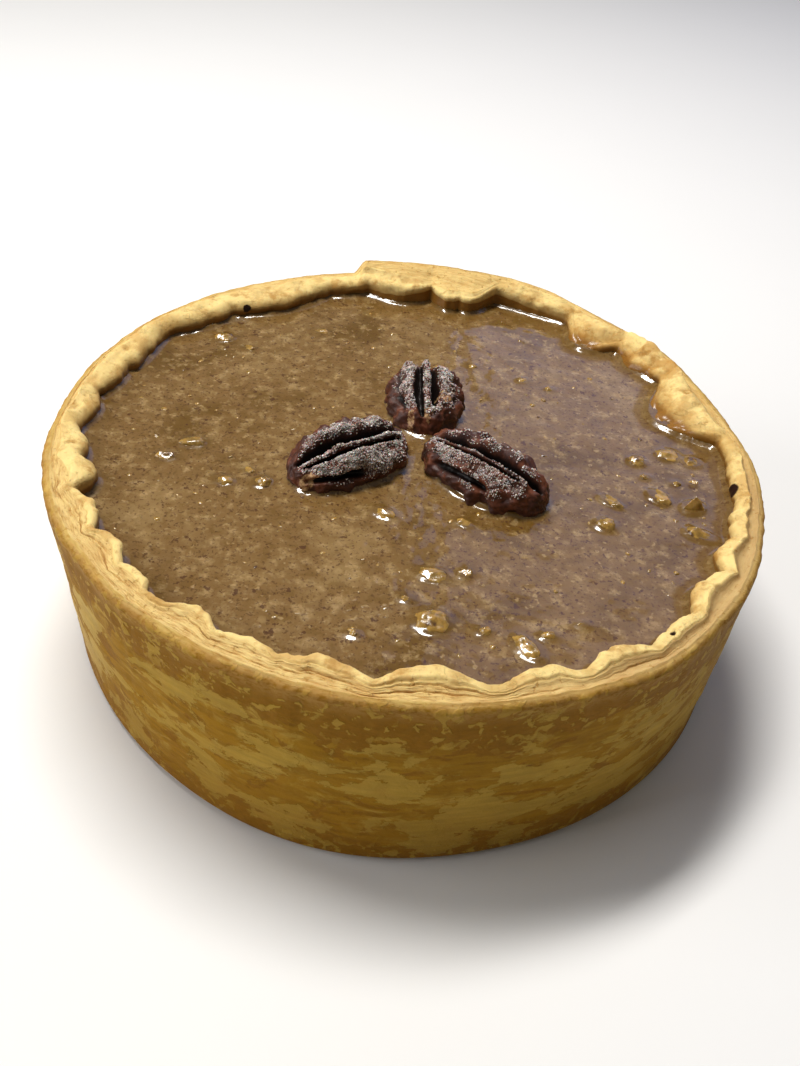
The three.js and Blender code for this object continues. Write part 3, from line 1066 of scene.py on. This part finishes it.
class TART_OT_custard(bpy.types.Operator):
    """Fills the case with custard whose surface ripples and climbs the pastry and the nuts"""

    bl_idname = "tart.custard"
    bl_label = "Custard"

    def execute(self, context):
        look = context.scene.tart_custard
        case = context.scene.tart_pastry
        bottom = case.cavity_radius - 2.5 * MM
        sheet, share, ring = sheet_of_dough("custard_fill", CUSTARD_AROUND, TOP_RINGS + 4)
        theta = np.radians(share * 360)
        cavity = case.cavity_radius + BULGE_SHARE * bulge(share * 360)
        inside = np.maximum(cavity, shore_radius(case, share * 360)) + 0.7 * MM
        r = inside * (1 - (1 - np.clip(ring / (TOP_RINGS - 1), 0, 1)) ** 1.15)
        height, nut, edge, shade_band = custard_height(look, case, around(theta, r, 0))
        z = look.level + height
        under = (
            (inside, look.level - 1 * MM),
            (inside - 0.5 * MM, look.level - 4 * MM),
            (bottom, CUSTARD_LOW.z),
            (0, CUSTARD_LOW.z),
        )
        for index, (radius, level) in enumerate(under):
            r = np.where(ring == TOP_RINGS + index, radius, r)
            z = np.where(ring == TOP_RINGS + index, level, z)
        note(sheet, "nut", nut)
        note(sheet, "edge", edge)
        note(sheet, "shade_band", shade_band)
        settle(sheet, around(theta, r, z))
        finish_piece(sheet, custard_material(look), "nut_custard", "custard")
        return {"FINISHED"}


class TART_OT_nuts(bpy.types.Operator):
    """Sets the larger nut pieces in the custard's surface, and scatters small crumbs of nut between them"""

    bl_idname = "tart.nuts"
    bl_label = "Nut pieces"

    def ball(self, subdivisions):
        """Vertices and faces of a ball, a unit across."""
        adder = bpy.ops.mesh.primitive_ico_sphere_add
        return template_of(made_by(adder, subdivisions=subdivisions, radius=0.5))

    def chunk(self, seed):
        """One broken piece of nut, a unit across, with snapped faces and dents."""
        co, polys = self.ball(4)
        rng = np.random.default_rng(seed)
        planes = [(rng.normal(size=3), rng.uniform(0.26, 0.40)) for _ in range(6)]
        if seed == SHARD:
            planes = [((1.0, 0.1, 0.7), 0.16), ((-0.4, 0.9, 0.6), 0.17), ((-0.6, -0.8, 0.5), 0.18)]
        for normal, depth in planes:
            normal = np.array(normal) / np.linalg.norm(normal)
            over = np.maximum(co @ normal - depth, 0)
            co -= over[:, None] * normal * 0.92
        rough = field(co * MM, 0.5, 3, seed * 3.7) * 0.22 + field(co * MM, 0.16, 2, seed) * 0.07
        return co * (1 + rough)[:, None], polys

    def crumb(self, seed):
        co, polys = self.ball(2)
        return co * (1 + field(co * MM, 0.6, 2, seed * 2.9) * 0.35)[:, None], polys

    def join(self, name, material, templates, placings):
        pieces = joined_copies(name, templates, placings)
        pieces.data.shade_smooth()
        finish_piece(pieces, material, "nut_custard")

    def execute(self, context):
        look = context.scene.tart_custard
        level = look.level / MM
        material = nut_material(look)
        chunks = [self.chunk(seed + 1) for seed in range(SHARD)]
        crumbs = [self.crumb(seed + 1) for seed in range(CRUMB_SHAPES)]
        rng = np.random.default_rng(11)
        placings = []
        for x, y, long, wide, turn, up in NUT_PIECES:
            tall = 3.0 * up
            sunk = 0.1 if up > SHARD_HEIGHT else up - 0.5 * tall
            kind = SHARD - 1 if up > SHARD_HEIGHT else int(rng.integers(SHARD - 1))
            placings.append((kind, placed(x, y, level + sunk, math.radians(turn), long, wide, tall)))
        self.join("nut_pieces", material, chunks, placings)

        placings = []
        while len(placings) < CRUMBS:
            angle = rng.uniform(0, 2 * math.pi)
            radius = CRUMB_SPREAD * math.sqrt(rng.uniform(0, 1))
            x = radius * math.cos(angle)
            y = radius * math.sin(angle)
            if any(nut_distance(x * MM, y * MM, *outline)[0] < 1.05 for outline in PECAN_OUTLINES):
                continue
            long = rng.uniform(0.6, 1.7)
            wide = long * rng.uniform(0.45, 0.9)
            tall = rng.uniform(0.4, 0.7) * wide
            turn = rng.uniform(0, math.pi)
            kind = int(rng.integers(CRUMB_SHAPES))
            placings.append((kind, placed(x, y, level - 0.22 * tall, turn, long, wide, tall)))
        self.join("nut_crumbs", material, crumbs, placings)
        return {"FINISHED"}


# ---- the pecan halves
def pecan_points(co, spec):
    """A pecan half in metres from a unit sphere with its poles along X, and its share of painted shade in the
    grooves.
    """
    name, *_, long, wide, tall, _, seed, _ = spec
    along, across, up = co.T
    angle = np.degrees(np.arctan2(across, up))
    local = co * [1.4, 1.0, 1.0] * MM
    wander = field(local, 0.8, 2, seed) * 5
    groove = np.zeros(len(co))
    shade = np.zeros(len(co))
    for middle, half, depth, start, end in GROOVES[name]:
        fade = ease(along, start, start + 0.25) * (1 - ease(along, end - 0.20, end))
        reach = fade * np.exp(-np.abs((angle + wander - middle) / half) ** 3)
        groove = np.maximum(groove, depth * reach)
        shade = np.maximum(shade, reach * min(1.0, depth * 2.4))
    girth = np.hypot(across, up)
    flank = np.abs(np.sin(np.radians(angle)))
    waves = np.sin(along * 17 + 2.6 * np.sin(angle / 26 + seed) + seed)
    lumps = 0.125 * waves * flank**2 * (0.7 + field(local, 0.9, 1, seed + 7))
    rough = field(local, 0.34, 3, seed + 2) * 0.090 + field(local, 0.13, 3, seed + 5) * 0.040
    swell = 1 + rough + lumps
    blunt = 1 + 0.16 * (1 - girth**2) * girth
    loaf = (np.abs(across) ** 2.3 + np.abs(up) ** 2.3) ** (-1 / 2.3) * girth
    points = np.empty_like(co)
    points[:, 0] = along * long / 2 * (1 + rough * 0.4)
    points[:, 1] = across * loaf * blunt * wide / 2 * swell * (1 - 0.8 * groove)
    under = np.where(up > 0, tall, 0.40 * tall)
    points[:, 2] = up * loaf * blunt * under * swell * (1 - groove)
    return points * MM, np.where(np.abs(angle) < 80, shade, 0)


class TART_OT_pecans(bpy.types.Operator):
    """Shapes the three pecan halves with their grooves and ridges, and frosts them with sugar grains"""

    bl_idname = "tart.pecans"
    bl_label = "Pecan halves"

    def half(self, spec):
        name, x, y, turn, _, _, tall, lean, seed, frost = spec
        adder = bpy.ops.mesh.primitive_uv_sphere_add
        piece = made_by(adder, segments=220, ring_count=120, radius=1, rotation=(0, math.pi / 2, 0))
        bpy.ops.object.transform_apply(location=True, rotation=True, scale=True)
        piece.name = name + "_half"
        co = vertices(piece)
        points, shade = pecan_points(co, spec)
        lean = math.radians(lean)
        spin = Matrix.Rotation(math.radians(turn), 3, "Z") @ Matrix.Rotation(-lean, 3, "X")
        rise = 0.3 * MM + 0.24 * tall * MM * abs(math.sin(lean))
        points = points @ np.array(spin).T + [x * MM, y * MM, CUSTARD_LEVEL + rise]
        dusted = np.clip(frost + 0.60 * field(points, 3.2, 3, seed) + 0.12, 0, 1)
        dusted *= ease(co[:, 2], 0.30, 0.80) * (1 - ease(shade, 0.15, 0.5))
        broken = np.zeros(len(co))
        for along, across, half_long, half_wide, strength in BREAKS.get(name, ()):
            away = ((co[:, 0] - along) / half_long) ** 2 + ((co[:, 1] - across) / half_wide) ** 2
            broken = np.maximum(broken, strength * np.exp(-away))
        # The share of painted shade in the grooves.
        note(piece, "groove", shade)
        note(piece, "frost", dusted)
        note(piece, "broken", broken)
        move_vertices(piece, points)
        bpy.ops.object.shade_smooth()
        return piece, points, dusted

    def execute(self, context):
        look = context.scene.tart_pecans
        material = pecan_material(look)
        rng = np.random.default_rng(5)
        grain = template_of(made_by(bpy.ops.mesh.primitive_cube_add, size=1))
        placings = []
        for spec in PECANS:
            piece, points, dusted = self.half(spec)
            finish_piece(piece, material, "sugared_pecan", spec[0])
            chance = np.clip(dusted - 0.10, 0, 1) ** 1.6
            count = int(GRAINS_FROST * spec[-1]) + GRAINS_LEAST
            chosen = rng.choice(len(points), size=count, p=chance / chance.sum())
            for index in chosen:
                size = look.grain * rng.uniform(0.40, 1.35) ** 1.5
                turn = Matrix.Rotation(rng.uniform(0, 3.1), 4, rng.normal(size=3))
                at = Vector(points[index]) + Vector((0, 0, 0.1 * size))
                placings.append((0, Matrix.Translation(at) @ turn @ Matrix.Scale(size, 4)))
        sugar = joined_copies("sugar_grains", [grain], placings)
        finish_piece(sugar, sugar_material(), "sugared_pecan")
        return {"FINISHED"}


# ---- camera, floor and light
class TART_OT_stage(bpy.types.Operator):
    """Sets the plain pale floor, the soft lights and the camera"""

    bl_idname = "tart.stage"
    bl_label = "Stage"

    def lamp(self, name, at, aim, size, power, tint):
        data = bpy.data.lights.new(name, "AREA")
        data.shape = "RECTANGLE"
        data.size, data.size_y = size
        data.energy = power
        data.color = tint
        lamp = bpy.data.objects.new(name, data)
        lamp.location = at
        lamp.rotation_mode = "QUATERNION"
        lamp.rotation_quaternion = (Vector(aim) - Vector(at)).to_track_quat("-Z", "Y")
        bpy.context.scene.collection.objects.link(lamp)

    def camera(self, look):
        """The camera looks down at a point in front of the tart's middle, rolled a little."""
        aim = Vector((AIM[0] * RIM_RADIUS, AIM[1] * RIM_RADIUS, RIM_HEIGHT))
        far = DISTANCE * RIM_RADIUS
        ahead = Vector((0, math.cos(look.elevation), -math.sin(look.elevation)))
        right = Vector((1, 0, 0))
        up = right.cross(ahead)
        rolled_right = math.cos(look.roll) * right + math.sin(look.roll) * up
        rolled_up = math.cos(look.roll) * up - math.sin(look.roll) * right
        data = bpy.data.cameras.new("camera")
        data.lens = look.lens
        data.sensor_width = 36
        data.clip_start = 0.01
        data.clip_end = 50
        camera = bpy.data.objects.new("camera", data)
        turned = Matrix((rolled_right, rolled_up, -ahead)).transposed().to_4x4()
        camera.matrix_world = Matrix.Translation(aim - ahead * far) @ turned
        bpy.context.scene.collection.objects.link(camera)
        bpy.context.scene.camera = camera

    def execute(self, context):
        look = context.scene.tart_stage
        scene = context.scene
        scene.view_settings.view_transform = "Standard"
        floor = made_by(bpy.ops.mesh.primitive_plane_add, size=12, location=(0, 0, 0))
        floor.name = "floor"
        floor.data.materials.append(floor_material(look))
        world = bpy.data.worlds.new("soft_room")
        world.use_nodes = True
        glow = world.node_tree.nodes["Background"].inputs
        glow[0].default_value = (1.0, 0.96, 0.87, 1)
        glow[1].default_value = 0.15
        scene.world = world
        for row in LAMPS:
            self.lamp(*row)
        self.camera(look)
        return {"FINISHED"}


class TART_PT_panel(bpy.types.Panel):
    """Lists the operators, and the settings that they read"""

    bl_label = "Nut custard tart"
    bl_space_type = "VIEW_3D"
    bl_region_type = "UI"
    bl_category = "Tart"

    def draw(self, context):
        for operator in STEPS:
            self.layout.operator(operator.bl_idname)
        for group, _ in GROUPS:
            settings = getattr(context.scene, group)
            box = self.layout.box()
            for key in settings.bl_rna.properties.keys():
                if key not in ("rna_type", "name"):
                    box.prop(settings, key)


GROUPS = (
    ("tart_pastry", PastrySettings),
    ("tart_custard", CustardSettings),
    ("tart_pecans", PecanSettings),
    ("tart_stage", StageSettings),
)
STEPS = (TART_OT_pastry, TART_OT_custard, TART_OT_nuts, TART_OT_pecans, TART_OT_stage)


def register():
    for key, group in GROUPS:
        bpy.utils.register_class(group)
        setattr(bpy.types.Scene, key, bpy.props.PointerProperty(type=group))
    for operator in STEPS:
        bpy.utils.register_class(operator)
    bpy.utils.register_class(TART_PT_panel)


def unregister():
    bpy.utils.unregister_class(TART_PT_panel)
    for operator in reversed(STEPS):
        bpy.utils.unregister_class(operator)
    for key, group in reversed(GROUPS):
        delattr(bpy.types.Scene, key)
        bpy.utils.unregister_class(group)


def main():
    register()
    bpy.ops.tart.stage()
    bpy.ops.tart.pastry()
    bpy.ops.tart.custard()
    bpy.ops.tart.nuts()
    bpy.ops.tart.pecans()


if __name__ == "__main__":
    main()
